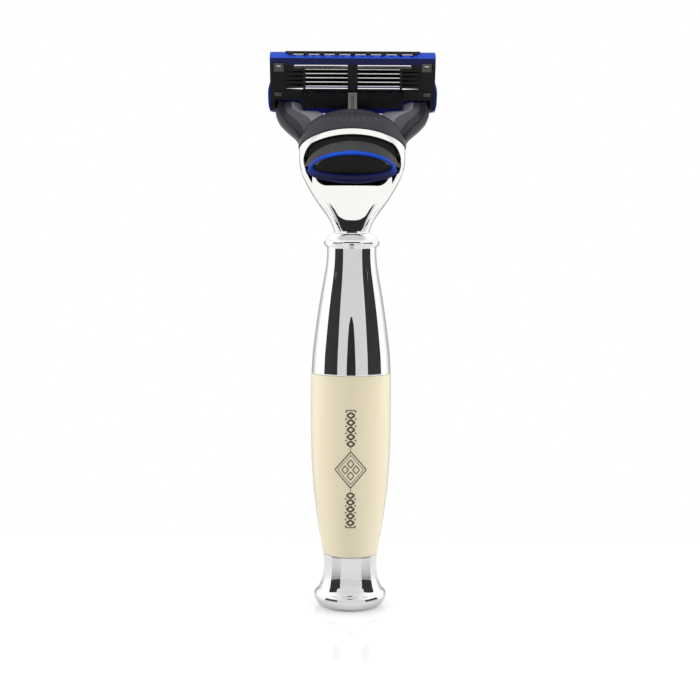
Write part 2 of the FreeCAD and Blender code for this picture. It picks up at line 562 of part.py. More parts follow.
HANDLE = {"base_cap": base_cap, "barrel": barrel, "ferrule": ferrule, "tie_rod": tie_rod,
          "head_shell": head_shell}
DOCKED = {"dock_core": dock_core, "ejector": ejector, "button_ring": button_ring, "button_pad": button_pad,
          "plunger": plunger, "plunger_spring": plunger_spring, "yoke": yoke}
UNIT_PARTS = {"blade_housing": blade_housing, "guard": guard, "lube_strip": lube_strip,
              "clip_left": clip_left, "clip_right": clip_right, "trimmer_carrier": trimmer_carrier,
              "trimmer_blade": trimmer_blade, "trimmer_comb": trimmer_comb}

os.makedirs("parts", exist_ok=True)
for name, make in HANDLE.items():
    save(name, make())
for name, make in DOCKED.items():
    save(name, in_dock(make()))
for name, make in UNIT_PARTS.items():
    save(name, in_unit(make()))
for k in range(BLADES):
    save("blade_%d" % (k + 1), in_unit(blade_strip(k)))
    save("blade_support_%d" % (k + 1), in_unit(blade_support(k)))
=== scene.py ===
import json
import math

import bmesh
import bpy
import numpy as np
from mathutils import Matrix, Vector


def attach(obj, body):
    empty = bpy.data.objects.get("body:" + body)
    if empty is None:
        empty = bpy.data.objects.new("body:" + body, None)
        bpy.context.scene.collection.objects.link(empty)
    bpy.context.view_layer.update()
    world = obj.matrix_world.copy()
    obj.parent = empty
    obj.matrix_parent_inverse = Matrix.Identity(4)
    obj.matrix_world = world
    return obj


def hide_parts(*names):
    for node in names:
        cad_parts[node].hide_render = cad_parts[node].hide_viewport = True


# A cartridge razor on a pale floor. The frame is in metres; sizes here are in millimetres times MM.

MM = 0.001
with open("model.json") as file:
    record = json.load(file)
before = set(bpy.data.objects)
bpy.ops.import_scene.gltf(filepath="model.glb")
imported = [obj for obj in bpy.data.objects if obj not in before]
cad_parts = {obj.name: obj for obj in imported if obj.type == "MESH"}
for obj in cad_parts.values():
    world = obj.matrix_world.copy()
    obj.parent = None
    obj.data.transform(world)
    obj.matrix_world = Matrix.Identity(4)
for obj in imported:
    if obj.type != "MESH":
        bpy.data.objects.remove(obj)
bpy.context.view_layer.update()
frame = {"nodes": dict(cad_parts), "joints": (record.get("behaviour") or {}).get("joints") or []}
nodes = frame["nodes"]
joints = {joint["name"]: joint for joint in frame["joints"]}

# ---- sizes shared with the CAD model, in millimetres ----
LEAN = math.radians(18)
NECK_Z, BEND_TOP = 93.8, 108.0
BEND_R = (BEND_TOP - NECK_Z) / math.sin(LEAN)
DOCK_Y = BEND_R * (1 - math.cos(LEAN))
HEAD_SECTIONS = [                # height on the centre line, half width, half depth
    (93.8, 4.3, 4.3), (96.0, 5.2, 4.5), (98.6, 6.84, 4.7), (101.5, 8.86, 4.95), (104.5, 10.64, 5.3),
    (107.4, 12.17, 5.5), (110.0, 13.0, 5.6), (113.0, 13.2, 5.65), (121.0, 13.0, 5.6)]
RIM_S, RIM_R, RIM_BAND = 9.67, 31.6, 1.4
RIM_CENTRE_S = RIM_S - RIM_R
WINDOW_TOP_R = RIM_R - RIM_BAND
WINDOW_HALF, WINDOW_LOW_S = 11.9, -4.1

# ---- sizes of the visual pieces alone, in millimetres ----
SLIT_MIDDLE, SLIT_END, HORN_TIP = (11.05, -1.0), (9.75, -3.4), (9.4, -0.75)
SHELL_WALL = 0.8
# ovals of the button: half width, half height, height of the middle above the docking frame's origin
RING_OUT, RING_IN, PAD_OVAL = (10.95, 4.15, -0.05), (9.5, 2.4, 0.4), (9.8, 2.55, 0.45)
# half width and half depth of the columns that the ring, pad and apron lie on
RING_COLUMN, PAD_COLUMN, APRON_COLUMN = (13.1, 5.0), (13.2, 5.9), (13.0, 5.55)

# ---- frames of the docking head and of the blade unit, read from the joints ----
pivot = Vector(joints["cartridge_pivot"]["pos_m"])
dock_up = Vector(joints["button_slide"]["axis"]).normalized()
dock_in = Vector((0, dock_up.z, -dock_up.y))
unit_in = -Vector(joints["blade_1_spring"]["axis"]).normalized()
unit_up = Vector((0, -unit_in.z, unit_in.y))
dock_matrix = Matrix(((1, 0, 0, 0), (0, dock_in.y, dock_up.y, DOCK_Y * MM),
                      (0, dock_in.z, dock_up.z, BEND_TOP * MM), (0, 0, 0, 1)))
unit_matrix = Matrix(((1, 0, 0, 0), (0, unit_in.y, unit_up.y, pivot.y),
                      (0, unit_in.z, unit_up.z, pivot.z), (0, 0, 0, 1)))


# ---------------------------------------------------------------- material helpers
class Nodes:
    """A material's node tree with a few short ways to add and link nodes."""

    def __init__(self, name):
        self.material = bpy.data.materials.new(name)
        self.material.use_nodes = True
        self.tree = self.material.node_tree
        self.shader = self.tree.nodes["Principled BSDF"]
        self.place = self.add("ShaderNodeTexCoord").outputs["Object"]

    def add(self, kind, **settings):
        node = self.tree.nodes.new(kind)
        for key, value in settings.items():
            setattr(node, key, value)
        return node

    def link(self, a, b):
        self.tree.links.new(a, b)

    def set(self, **values):
        for key, value in values.items():
            socket = self.shader.inputs[key.replace("_", " ")]
            socket.default_value = (*value, 1) if isinstance(value, tuple) and len(value) == 3 else value

    def scaled(self, scale):
        mapping = self.add("ShaderNodeMapping")
        mapping.inputs["Scale"].default_value = scale
        self.link(self.place, mapping.inputs["Vector"])
        return mapping.outputs["Vector"]

    def noise(self, scale, stretch=(1, 1, 1), detail=4.0, rough=0.55):
        node = self.add("ShaderNodeTexNoise")
        node.inputs["Scale"].default_value = scale
        node.inputs["Detail"].default_value = detail
        node.inputs["Roughness"].default_value = rough
        self.link(self.scaled(stretch), node.inputs["Vector"])
        return node.outputs["Fac"]

    def ramp(self, factor, low, high, start=0.3, end=0.7):
        node = self.add("ShaderNodeValToRGB")
        first, last = node.color_ramp.elements
        first.position, last.position = start, end
        first.color = (*low, 1) if isinstance(low, tuple) else (low, low, low, 1)
        last.color = (*high, 1) if isinstance(high, tuple) else (high, high, high, 1)
        self.link(factor, node.inputs["Fac"])
        return node.outputs["Color"]

    def bump(self, height, distance):
        node = self.add("ShaderNodeBump")
        node.inputs["Distance"].default_value = distance
        node.inputs["Strength"].default_value = 1.0
        self.link(height, node.inputs["Height"])
        return node.outputs["Normal"]

    def rising(self, source, start, end, low, tone, kind="LINEAR"):
        """From the low colour to the tone while the source's Z goes from start to end."""
        split = self.add("ShaderNodeSeparateXYZ")
        self.link(source, split.inputs["Vector"])
        level = self.add("ShaderNodeMapRange", interpolation_type=kind)
        level.inputs["From Min"].default_value = start
        level.inputs["From Max"].default_value = end
        self.link(split.outputs["Z"], level.inputs["Value"])
        mix = self.add("ShaderNodeMix", data_type="RGBA")
        mix.inputs["A"].default_value = (*low, 1)
        self.link(level.outputs["Result"], mix.inputs["Factor"])
        self.link(tone, mix.inputs["B"])
        return mix.outputs["Result"]

    def normal(self, socket):
        self.link(socket, self.shader.inputs["Normal"])

    def colour(self, socket):
        self.link(socket, self.shader.inputs["Base Color"])

    def roughness(self, socket):
        self.link(socket, self.shader.inputs["Roughness"])


def chrome():
    m = Nodes("chrome")
    m.set(Metallic=1.0)
    m.colour(m.ramp(m.noise(90, detail=2), (0.90, 0.905, 0.91), (0.94, 0.945, 0.95)))
    m.roughness(m.ramp(m.noise(260, detail=6), 0.018, 0.045))
    return m.material


def ivory():
    m = Nodes("ivory_resin")
    m.set(IOR=1.35, Coat_Weight=0.45, Coat_Roughness=0.05, Subsurface_Weight=0.2, Subsurface_Scale=0.004)
    m.shader.inputs["Subsurface Radius"].default_value = (1.0, 0.75, 0.45)
    m.colour(m.ramp(m.noise(55, (1, 1, 0.25), 5), (0.715, 0.638, 0.462), (0.775, 0.698, 0.520)))
    m.roughness(m.ramp(m.noise(420), 0.16, 0.24))
    m.normal(m.bump(m.noise(900, detail=3), 0.000004))
    return m.material


def moulded(name, dark, light, rough=(0.35, 0.5), grain=2600.0, depth=0.000003, coat=0.0, ior=1.48,
            shade=None, fade=None):
    """Moulded plastic or rubber: slight colour drift and a fine surface grain.
    With shade it gets painted shade where it faces down; with fade it gets painted shade low down, going
    over to its own tone between two heights."""
    m = Nodes(name)
    m.set(IOR=ior, Coat_Weight=coat, Coat_Roughness=0.12)
    tone = m.ramp(m.noise(140), dark, light)
    # painted shade: a darker colour where the surface faces down
    if shade is not None:
        facing = m.add("ShaderNodeNewGeometry").outputs["Normal"]
        tone = m.rising(facing, -0.15, 0.55, shade, tone)
    # painted shade: darker colour low down in the piece's own frame, going over to its tone between two
    # heights
    if fade is not None:
        start, end, painted_shade_tone = fade
        tone = m.rising(m.place, start, end, painted_shade_tone, tone, "SMOOTHSTEP")
    m.colour(tone)
    m.roughness(m.ramp(m.noise(600), *rough))
    m.normal(m.bump(m.noise(grain, detail=2), depth))
    return m.material


def ground_steel(name, low=0.62, high=0.74, rough=(0.16, 0.3), stretch=(0.02, 1, 1)):
    """Ground steel sheet: fine scratches along its length."""
    m = Nodes(name)
    m.set(Metallic=1.0, Anisotropic=0.4)
    streaks = m.noise(5200, stretch, 3)
    m.colour(m.ramp(streaks, (low, low, low * 1.01), (high, high, high * 1.01)))
    m.roughness(m.ramp(streaks, *rough))
    m.normal(m.bump(streaks, 0.000003))
    return m.material


def ink():
    m = Nodes("dark_ink")
    m.set(IOR=1.45)
    m.colour(m.ramp(m.noise(900), (0.028, 0.019, 0.014), (0.055, 0.040, 0.030)))
    m.roughness(m.ramp(m.noise(500), 0.35, 0.5))
    return m.material


CHROME = chrome()
IVORY = ivory()
INK = ink()
BLACK = moulded("black_plastic", (0.003, 0.003, 0.004), (0.006, 0.006, 0.007), (0.2, 0.34), ior=1.25)
GREY = moulded("grey_plastic", (0.042, 0.040, 0.043), (0.062, 0.060, 0.064), (0.3, 0.42), ior=1.35)
YOKE = moulded("yoke_plastic", (0.030, 0.030, 0.038), (0.044, 0.044, 0.053), (0.2, 0.3), coat=0.1,
               ior=1.4)
# smoke-grey web of the yoke's arms, painted much lighter: painted light for its lit inner facet and its
# translucent glow
SMOKE_PAINTED_LIGHT = moulded("smoke_web_painted_light", (0.30, 0.30, 0.35), (0.44, 0.44, 0.49), (0.2, 0.3))
# blue plastic with painted shade, navy where it faces down
BLUE = moulded("blue_plastic", (0.006, 0.055, 0.50), (0.010, 0.085, 0.66), (0.2, 0.3), ior=1.3,
               shade=(0.001, 0.003, 0.055))
# the button's ring: the same blue, with painted shade turning its lower part navy
RING = moulded("ring_plastic", (0.006, 0.055, 0.50), (0.010, 0.085, 0.66), (0.2, 0.3), ior=1.3,
               fade=(0.1070, 0.1122, (0.001, 0.003, 0.035)))
PLUNGER = moulded("plunger_plastic", (0.10, 0.10, 0.105), (0.14, 0.14, 0.145), (0.25, 0.35))
# blue elastomer with painted shade, darker where it faces down
SOFT_BLUE = moulded("blue_elastomer", (0.006, 0.03, 0.40), (0.010, 0.05, 0.55), (0.42, 0.6),
                    depth=0.00001, ior=1.3, shade=(0.003, 0.014, 0.26))
PAD = moulded("black_elastomer", (0.002, 0.002, 0.002), (0.004, 0.004, 0.004), (0.4, 0.6), depth=0.00002,
              ior=1.25)
STEEL = ground_steel("ground_steel")
# bright steel of the blades; on the tubes along the clips' and supports' edges it is a painted highlight
EDGE_STEEL = ground_steel("edge_steel", 0.78, 0.86, (0.2, 0.28))
# steel of the blade supports painted near black: painted shade inside the housing
STEEL_PAINTED_SHADE = ground_steel("steel_painted_shade", 0.03, 0.06, (0.3, 0.4))
CLIP = ground_steel("clip_aluminium", 0.05, 0.10, (0.2, 0.34))
# lighter copy of the yoke's plastic for the arms' broad face: painted light
ARM_FACE_PAINTED_LIGHT = moulded("arm_plastic_painted_light", (0.075, 0.075, 0.092), (0.105, 0.105, 0.125), (0.2, 0.3), coat=0.1, ior=1.4)
WAX = moulded("lubricating_strip", (0.42, 0.66, 0.62), (0.55, 0.76, 0.70), (0.3, 0.5), 700, 0.00004)

NODE_MATERIALS = {
    "base_cap": CHROME, "barrel": IVORY, "ferrule": CHROME, "tie_rod": STEEL, "head_shell": CHROME,
    "dock_core": BLACK, "ejector": GREY, "button_ring": BLUE, "button_pad": PAD, "plunger": PLUNGER,
    "plunger_spring": STEEL, "yoke": YOKE, "blade_housing": BLACK, "guard": SOFT_BLUE, "lube_strip": WAX,
    "clip_left": CLIP, "clip_right": CLIP, "trimmer_carrier": BLUE, "trimmer_blade": STEEL,
    "trimmer_comb": BLACK}
for k in range(1, 6):
    NODE_MATERIALS["blade_%d" % k] = EDGE_STEEL
    NODE_MATERIALS["blade_support_%d" % k] = STEEL_PAINTED_SHADE
for name, material in NODE_MATERIALS.items():
    for slot in nodes[name].material_slots:
        slot.material = material


# ---------------------------------------------------------------- mesh helpers
def spline(points, count):
    """Natural cubic spline through points by chord length, sampled count times."""
    p = np.array(points, float)
    t = np.concatenate([[0], np.cumsum(np.linalg.norm(np.diff(p, axis=0), axis=1))])
    n, h = len(p), np.diff(t)
    a, rhs = np.eye(n), np.zeros_like(p)
    for i in range(1, n - 1):
        a[i, i - 1:i + 2] = h[i - 1], 2 * (h[i - 1] + h[i]), h[i]
        rhs[i] = 6 * ((p[i + 1] - p[i]) / h[i] - (p[i] - p[i - 1]) / h[i - 1])
    bend = np.linalg.solve(a, rhs)
    out = []
    for x in np.linspace(0, t[-1], count):
        i = min(np.searchsorted(t, x, side="right") - 1, n - 2)
        u, v = x - t[i], t[i + 1] - x
        out.append((bend[i] * v ** 3 + bend[i + 1] * u ** 3) / (6 * h[i])
                   + (p[i] / h[i] - bend[i] * h[i] / 6) * v
                   + (p[i + 1] / h[i] - bend[i + 1] * h[i] / 6) * u)
    return [tuple(q) for q in out]


def piece(name, bm, material, body, stands_for, place=None, flat=False):
    """Object from a bmesh in millimetres: it rides on a body and stands for CAD nodes."""
    bmesh.ops.recalc_face_normals(bm, faces=bm.faces)
    mesh = bpy.data.meshes.new(name)
    bm.to_mesh(mesh)
    bm.free()
    mesh.transform((place or Matrix()) @ Matrix.Scale(MM, 4))
    if not flat:
        mesh.shade_smooth()
    mesh.materials.append(material)
    obj = bpy.data.objects.new(name, mesh)
    bpy.context.collection.objects.link(obj)
    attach(obj, body)
    if stands_for:
        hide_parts(*stands_for)
    return obj


def apply(obj, kind, **settings):
    """Add a modifier and apply it."""
    modifier = obj.modifiers.new(kind.lower(), kind)
    for key, value in settings.items():
        setattr(modifier, key, value)
    depsgraph = bpy.context.evaluated_depsgraph_get()
    mesh = bpy.data.meshes.new_from_object(obj.evaluated_get(depsgraph))
    obj.modifiers.clear()
    obj.data = mesh
    return obj


def bevelled(obj, width, segments=2, angle=35):
    """Round the edges sharper than an angle, with normals that keep the flats flat."""
    apply(obj, "BEVEL", width=width * MM, segments=segments, limit_method="ANGLE",
          angle_limit=math.radians(angle), harden_normals=True)
    return obj


def ring_faces(bm, first, second, closed=True):
    count = len(first)
    for i in range(count if closed else count - 1):
        j = (i + 1) % count
        corners = [first[i], first[j], second[j], second[i]]
        if len(set(corners)) > 2:
            bm.faces.new(list(dict.fromkeys(corners)))


def lathe(name, profile, material, node, segments=160):
    """Turned piece from a profile of (radius, height) points that starts and ends on the axis."""
    bm = bmesh.new()
    rows = []
    for radius, height in profile:
        if radius < 1e-6:
            vert = bm.verts.new((0, 0, height))
            rows.append([vert] * segments)
            continue
        rows.append([bm.verts.new((radius * math.cos(2 * math.pi * k / segments),
                                   radius * math.sin(2 * math.pi * k / segments), height))
                     for k in range(segments)])
    for low, high in zip(rows, rows[1:]):
        ring_faces(bm, low, high)
    obj = piece(name, bm, material, "handle", [node])
    return apply(obj, "EDGE_SPLIT", split_angle=math.radians(40), use_edge_sharp=False)


# ---------------------------------------------------------------- camera, light and floor
CAMERA_DISTANCE, CAMERA_HEIGHT = 312.3, 91.77
CAMERA_SIDE, CAMERA_PITCH, CAMERA_ROLL = -0.3, 5.0, 0.3
FOCAL, SENSOR = 64.8, 36.0
WHITE, FRONT_LIGHT, TOP_LIGHT, SIDE_LIGHT = 1.0, 0.68, 0.72, 1.08
BACK_LIGHT, CEILING_LIGHT = 0.42, 0.66
CARD_DISTANCE, CARD_LOW, CARD_TOP = 600.0, 0.5, 290.0
FLOOR_GLOW, FLOOR_HALF, FLOOR_BACK = 0.27, 900, 70
SIDE_POWER, SIDE_LAMP_SIZE, SIDE_LAMP_AT, SIDE_LAMP_AIM = 2.2, 0.5, (0.55, -0.12, 0.2), (0, 0, 0.06)
LOW_CARD_Y = -39.0                       # card in front of the ferrule, with its half outline (x, z)
LOW_CARD = [(8, 50), (7.8, 62), (6.6, 72), (4.6, 77.5), (1.6, 80.4)]
PANEL_Y, PANEL_HALF, PANEL_TOP = -31.0, 85.0, 145.0    # white panel in front of the button
NECK_CARD_HALF, NECK_CARD_LOW, NECK_CARD_TOP = 20.0, 93.2, 104.5
CORNER_Y, CORNER_OUT, CORNER_LOW = -31.2, 46.0, 101.0
SIDE_PANEL_FRONT, SIDE_PANEL_BACK, SIDE_PANEL_LOW, SIDE_PANEL_TOP = -20.0, 24.0, 94.3, 108.0
CARD_SPANS = [(-84, -40), (49, 97)]   # degrees from the camera's direction


def add_camera():
    data = bpy.data.cameras.new("camera")
    data.lens, data.sensor_width = FOCAL, SENSOR
    data.clip_start, data.clip_end = 0.01, 20
    camera = bpy.data.objects.new("camera", data)
    bpy.context.collection.objects.link(camera)
    camera.location = (CAMERA_SIDE * MM, -CAMERA_DISTANCE * MM, CAMERA_HEIGHT * MM)
    turn = Matrix.Rotation(math.radians(90 - CAMERA_PITCH), 4, "X")
    camera.rotation_euler = (turn @ Matrix.Rotation(math.radians(CAMERA_ROLL), 4, "Z")).to_euler()
    bpy.context.scene.camera = camera


def add_world():
    """White surroundings: darker low in front, a little grey straight behind; the camera sees white."""
    world = bpy.data.worlds.new("studio")
    world.use_nodes = True
    bpy.context.scene.world = world
    tree = world.node_tree
    shader = tree.nodes["Background"]
    shader.inputs["Color"].default_value = (1, 1, 1, 1)
    place = tree.nodes.new("ShaderNodeTexCoord")
    split = tree.nodes.new("ShaderNodeSeparateXYZ")
    tree.links.new(place.outputs["Generated"], split.inputs["Vector"])

    def step(axis, start, end, low, high):
        node = tree.nodes.new("ShaderNodeMapRange")
        node.interpolation_type = "SMOOTHSTEP"
        for socket, value in zip(("From Min", "From Max", "To Min", "To Max"), (start, end, low, high)):
            node.inputs[socket].default_value = value
        tree.links.new(split.outputs[axis], node.inputs["Value"])
        return node.outputs["Result"]

    def mixed(factor, first, second):
        node = tree.nodes.new("ShaderNodeMix")
        tree.links.new(factor, node.inputs["Factor"])
        for socket, value in (("A", first), ("B", second)):
            if isinstance(value, float):
                node.inputs[socket].default_value = value
            else:
                tree.links.new(value, node.inputs[socket])
        return node.outputs["Result"]

    front = step("Z", 0.31, 0.38, FRONT_LIGHT, TOP_LIGHT)
    round_light = mixed(step("Y", -0.8, -0.1, 0.0, 1.0), front, SIDE_LIGHT)
    low_back = mixed(step("Z", 0.15, 0.23, 0.0, 1.0), BACK_LIGHT, SIDE_LIGHT)
    around = mixed(step("Y", 0.5, 0.95, 0.0, 1.0), round_light, low_back)
    level = mixed(step("Z", 0.75, 0.9, 0.0, 1.0), around, CEILING_LIGHT)
    path = tree.nodes.new("ShaderNodeLightPath")
    tree.links.new(mixed(path.outputs["Is Camera Ray"], level, WHITE), shader.inputs["Strength"])
    bpy.context.scene.view_settings.view_transform = "Standard"


def stage_mesh(name, corners, material):
    mesh = bpy.data.meshes.new(name)
    mesh.from_pydata([Vector(c) * MM for c in corners], [], [tuple(range(len(corners)))])
    mesh.materials.append(material)
    obj = bpy.data.objects.new(name, mesh)
    bpy.context.collection.objects.link(obj)
    return obj


def add_floor():
    """Pale glossy floor; it is a little brighter to the camera than in reflections."""
    m = Nodes("floor")
    m.set(Base_Color=(0.68, 0.68, 0.68), Roughness=0.12, IOR=1.45)
    glow = m.add("ShaderNodeEmission")
    glow.inputs["Color"].default_value = (1, 1, 1, 1)
    strength = m.add("ShaderNodeMath", operation="MULTIPLY")
    strength.inputs[1].default_value = FLOOR_GLOW
    m.link(m.add("ShaderNodeLightPath").outputs["Is Camera Ray"], strength.inputs[0])
    m.link(strength.outputs["Value"], glow.inputs["Strength"])
    total = m.add("ShaderNodeAddShader")
    m.link(m.shader.outputs["BSDF"], total.inputs[0])
    m.link(glow.outputs["Emission"], total.inputs[1])
    m.link(total.outputs["Shader"], m.tree.nodes["Material Output"].inputs["Surface"])
    corners = [(-FLOOR_HALF, -FLOOR_HALF, 0), (FLOOR_HALF, -FLOOR_HALF, 0), (FLOOR_HALF, FLOOR_BACK, 0),
               (-FLOOR_HALF, FLOOR_BACK, 0)]
    stage_mesh("floor", corners, m.material)


def upright(a, b, low, high):
    """Corners of an upright rectangle over the floor points a and b."""
    return [(*a, low), (*b, low), (*b, high), (*a, high)]


def add_cards():
    """Black cards and white panels round the object, seen only in reflections."""
    dark = Nodes("black_card")
    dark.set(Base_Color=(0.032, 0.032, 0.034), Roughness=0.8, IOR=1.1)
    shapes = []
    for span in CARD_SPANS:
        foot = [(CARD_DISTANCE * math.sin(math.radians(a)), -CARD_DISTANCE * math.cos(math.radians(a)))
                for a in span]
        shapes.append(upright(*foot, CARD_LOW, CARD_TOP))
    mirrored = [(-x, z) for x, z in reversed(LOW_CARD)]
    outline = mirrored[-1:] + LOW_CARD + mirrored[:-1]
    shapes.append([(x, LOW_CARD_Y, z) for x, z in outline])
    ends = (-NECK_CARD_HALF, PANEL_Y), (NECK_CARD_HALF, PANEL_Y)
    shapes.append(upright(*ends, NECK_CARD_LOW, NECK_CARD_TOP))
    made = [stage_mesh("card_%d" % k, corners, dark.material) for k, corners in enumerate(shapes)]
    glow = Nodes("white_panel")
    glow.set(Base_Color=(0.0, 0.0, 0.0), Emission_Color=(1.0, 0.985, 0.95), Emission_Strength=1.0,
             Roughness=0.9)
    corners = upright((-PANEL_HALF, PANEL_Y), (PANEL_HALF, PANEL_Y), NECK_CARD_TOP, PANEL_TOP)
    made.append(stage_mesh("white_panel", corners, glow.material))
    for side, name in ((-1, "left"), (1, "right")):
        x = side * NECK_CARD_HALF
        corners = upright((x, SIDE_PANEL_FRONT), (x, SIDE_PANEL_BACK), SIDE_PANEL_LOW, SIDE_PANEL_TOP)
        made.append(stage_mesh("white_side_panel_" + name, corners, glow.material))
        corners = upright((x, CORNER_Y), (side * CORNER_OUT, CORNER_Y), CORNER_LOW, NECK_CARD_TOP)
        made.append(stage_mesh("white_corner_panel_" + name, corners, glow.material))
    for card in made:
        card.visible_camera = False
        card.visible_diffuse = False
        card.visible_shadow = False
        card.visible_transmission = False


def add_side_lights():
    """Two soft lights, left and right, that brighten the sides of the matt parts."""
    for side in (-1, 1):
        data = bpy.data.lights.new("side_light", "AREA")
        data.shape, data.size, data.energy = "SQUARE", SIDE_LAMP_SIZE, SIDE_POWER
        lamp = bpy.data.objects.new("side_light", data)
        bpy.context.collection.objects.link(lamp)
        lamp.location = (side * SIDE_LAMP_AT[0], SIDE_LAMP_AT[1], SIDE_LAMP_AT[2])
        aim = Vector(SIDE_LAMP_AIM) - lamp.location
        lamp.rotation_euler = aim.to_track_quat("-Z", "Y").to_euler()
        lamp.visible_glossy = False
        lamp.visible_camera = False


# ---------------------------------------------------------------- handle
def make_base_cap():
    body = spline([(6.75, 0.03), (7.9, 0.55), (8.75, 1.6), (9.1, 2.7), (8.93, 3.4), (8.22, 4.2),
                   (7.71, 5.15), (7.27, 6.2), (6.95, 7.4), (6.73, 9.3), (6.7, 11.2), (6.83, 13.15)], 90)
    foot = [(0, 0), (3.0, 0), (6.4, 0), (6.6, 0)]
    top = [(6.8, 13.3), (6.66, 13.4), (4.0, 13.4), (0, 13.4)]
    lathe("base_cap_turned", foot + body + top, CHROME, "base_cap")


BARREL_BODY = [                  # radius, height
    (6.95, 13.62), (7.44, 16.4), (8.06, 20.5), (8.62, 24.6), (9.11, 28.6), (9.48, 32.7),
    (9.76, 36.8), (9.92, 41.8), (10.0, 48.0), (9.98, 54.0), (9.93, 58.55)]


def make_barrel():
    low = [(0, 13.4), (4.0, 13.4), (6.72, 13.4), (6.86, 13.46)]
    top = [(9.88, 58.72), (9.74, 58.8), (5.0, 58.8), (0, 58.8)]
    lathe("barrel_turned", low + spline(BARREL_BODY, 120) + top, IVORY, "barrel")


def barrel_radius(height):
    return float(np.interp(height, [p[1] for p in BARREL_BODY], [p[0] for p in BARREL_BODY]))


def make_ferrule():
    body = spline([(9.84, 59.05), (9.58, 63.5), (9.14, 67.4), (8.63, 71.4), (8.04, 75.4), (7.37, 79.4),
                   (6.66, 83.3), (6.3, 85.6), (6.13, 87.3), (6.08, 88.6), (6.08, 89.5),
                   (6.2, 90.0), (6.46, 90.15)], 150)
    low = [(0, 58.8), (5.0, 58.8), (9.66, 58.8), (9.8, 58.88)]
    collar = [(6.5, 90.22), (6.52, 90.34), (6.72, 90.4), (6.84, 90.62), (6.87, 90.95), (6.83, 91.3),
              (6.68, 91.62), (6.4, 91.95)]
    top = [(5.9, 92.5), (5.3, 93.12), (5.05, 93.3), (4.4, 93.4), (4.35, 93.8), (2.0, 93.8), (0, 93.8)]
    lathe("ferrule_turned", low + body + collar + top, CHROME, "ferrule")


# ---------------------------------------------------------------- head shell
def centre_line(t):
    """Point (y, z), forward direction and height at a distance along the head's centre line.
    The distance is 0 at the top of the bend, where the docking frame has its origin."""
    if t >= 0:
        turn, y, z = LEAN, DOCK_Y + t * math.sin(LEAN), BEND_TOP + t * math.cos(LEAN)
    else:
        turn = LEAN + t / BEND_R
        y, z = BEND_R * (1 - math.cos(turn)), NECK_Z + BEND_R * math.sin(turn)
    return (y, z), (math.cos(turn), -math.sin(turn)), z


HEAD_FINE = np.array(spline(HEAD_SECTIONS, 200))


def half_sizes(height):
    return (float(np.interp(height, HEAD_FINE[:, 0], HEAD_FINE[:, 1])),
            float(np.interp(height, HEAD_FINE[:, 0], HEAD_FINE[:, 2])))


def section_point(angle, half_width, half_depth, power):
    """Point of a rounded-square section: |x / a| ** power + |y / b| ** power = 1."""
    sine, cosine = math.sin(angle), math.cos(angle)
    reach = (abs(sine) ** power + abs(cosine) ** power) ** (-1 / power)
    return half_width * reach * sine, half_depth * reach * cosine


def flatness(height):
    """Exponent of the section: nearly square from the neck up, rounder towards the rim."""
    return float(np.interp(height, [93.8, 95, 97, 104, 108, 112], [3.4, 3.6, 3.8, 3.8, 3.0, 2.2]))


FRONT_SECTIONS = [               # height on the centre line, half depth of the button side
    (93.8, 4.3), (95.4, 4.22), (96.6, 4.12), (98.2, 3.98), (101.0, 3.9), (104.5, 3.95),
    (107.4, 4.35), (110.0, 4.9), (113.0, 5.35), (117.0, 5.6), (121.0, 5.6)]
FRONT_FINE = np.array(spline(FRONT_SECTIONS, 200))


def front_depth(height):
    """Half depth of the button side, a little shallower than the back below the window."""
    return float(np.interp(height, FRONT_FINE[:, 0], FRONT_FINE[:, 1]))


def shell_point(angle, t):
    """Point on the head's outer surface: angle 0 is the middle of the button side."""
    (y, z), (fy, fz), height = centre_line(t)
    half_width, half_depth = half_sizes(height)
    if math.cos(angle) > 0:
        half_depth = front_depth(height)
    across, deep = section_point(angle, half_width, half_depth, flatness(height))
    return (across, y - deep * fy, z - deep * fz)


def rim_t(x):
    return RIM_CENTRE_S + math.sqrt(RIM_R ** 2 - x ** 2)


def rim_end(angle):
    """Distance along the centre line where the column at an angle meets the rim."""
    height = BEND_TOP + 6
    return rim_t(section_point(angle, half_sizes(height)[0], 1.0, flatness(height))[0])


def arc_through(a, b, c, count):
    """Points of the arc from a to c by way of b."""
    (ax, ay), (bx, by), (cx, cy) = a, b, c
    size_a, size_b, size_c = ax ** 2 + ay ** 2, bx ** 2 + by ** 2, cx ** 2 + cy ** 2
    d = 2 * (ax * (by - cy) + bx * (cy - ay) + cx * (ay - by))
    ux = (size_a * (by - cy) + size_b * (cy - ay) + size_c * (ay - by)) / d
    uy = (size_a * (cx - bx) + size_b * (ax - cx) + size_c * (bx - ax)) / d
    start, middle, end = [math.atan2(p[1] - uy, p[0] - ux) for p in (a, b, c)]
    turn, via = (end - start) % (2 * math.pi), (middle - start) % (2 * math.pi)
    if via > turn:
        turn -= 2 * math.pi
    radius = math.hypot(ax - ux, ay - uy)
    return [(ux + radius * math.cos(start + turn * k / (count - 1)),
             uy + radius * math.sin(start + turn * k / (count - 1))) for k in range(count)]


